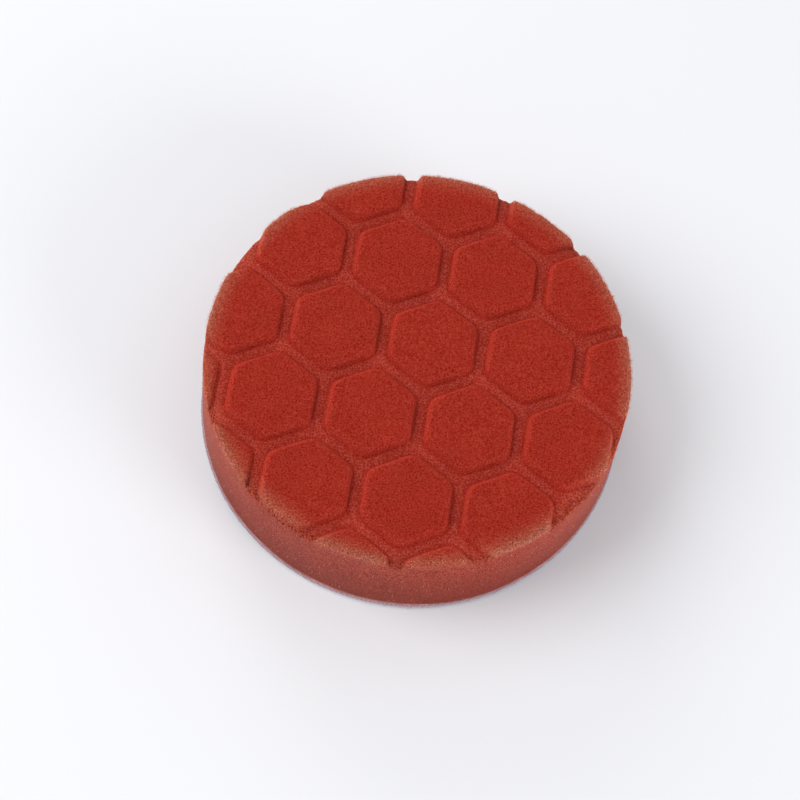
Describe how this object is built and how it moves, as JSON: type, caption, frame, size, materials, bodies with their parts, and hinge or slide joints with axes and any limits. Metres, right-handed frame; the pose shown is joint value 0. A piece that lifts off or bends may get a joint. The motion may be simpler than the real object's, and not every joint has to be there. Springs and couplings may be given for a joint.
{
  "type": "polishing pad",
  "caption": "Round foam polishing pad: soft open-cell disc, honeycomb of pressed cushions on its working face, hook-and-loop fabric backing.",
  "frame": {"origin": "centre of the machine side, where the loops of the backing meet the polisher's backing plate", "axes": "+Z along the pad's spin axis, from the backing towards the working face; +X along a row of cushions"},
  "size_m": [0.1, 0.1, 0.028],
  "materials": {
    "foam": "matte",
    "adhesive": "satin",
    "backing_cloth": "matte",
    "loop_pile": "matte"
  },
  "bodies": {
    "root": {"foam_disc": "foam", "adhesive_film": "adhesive", "backing_fabric": "backing_cloth", "loop_pile": "loop_pile"}
  },
  "joints": []
}
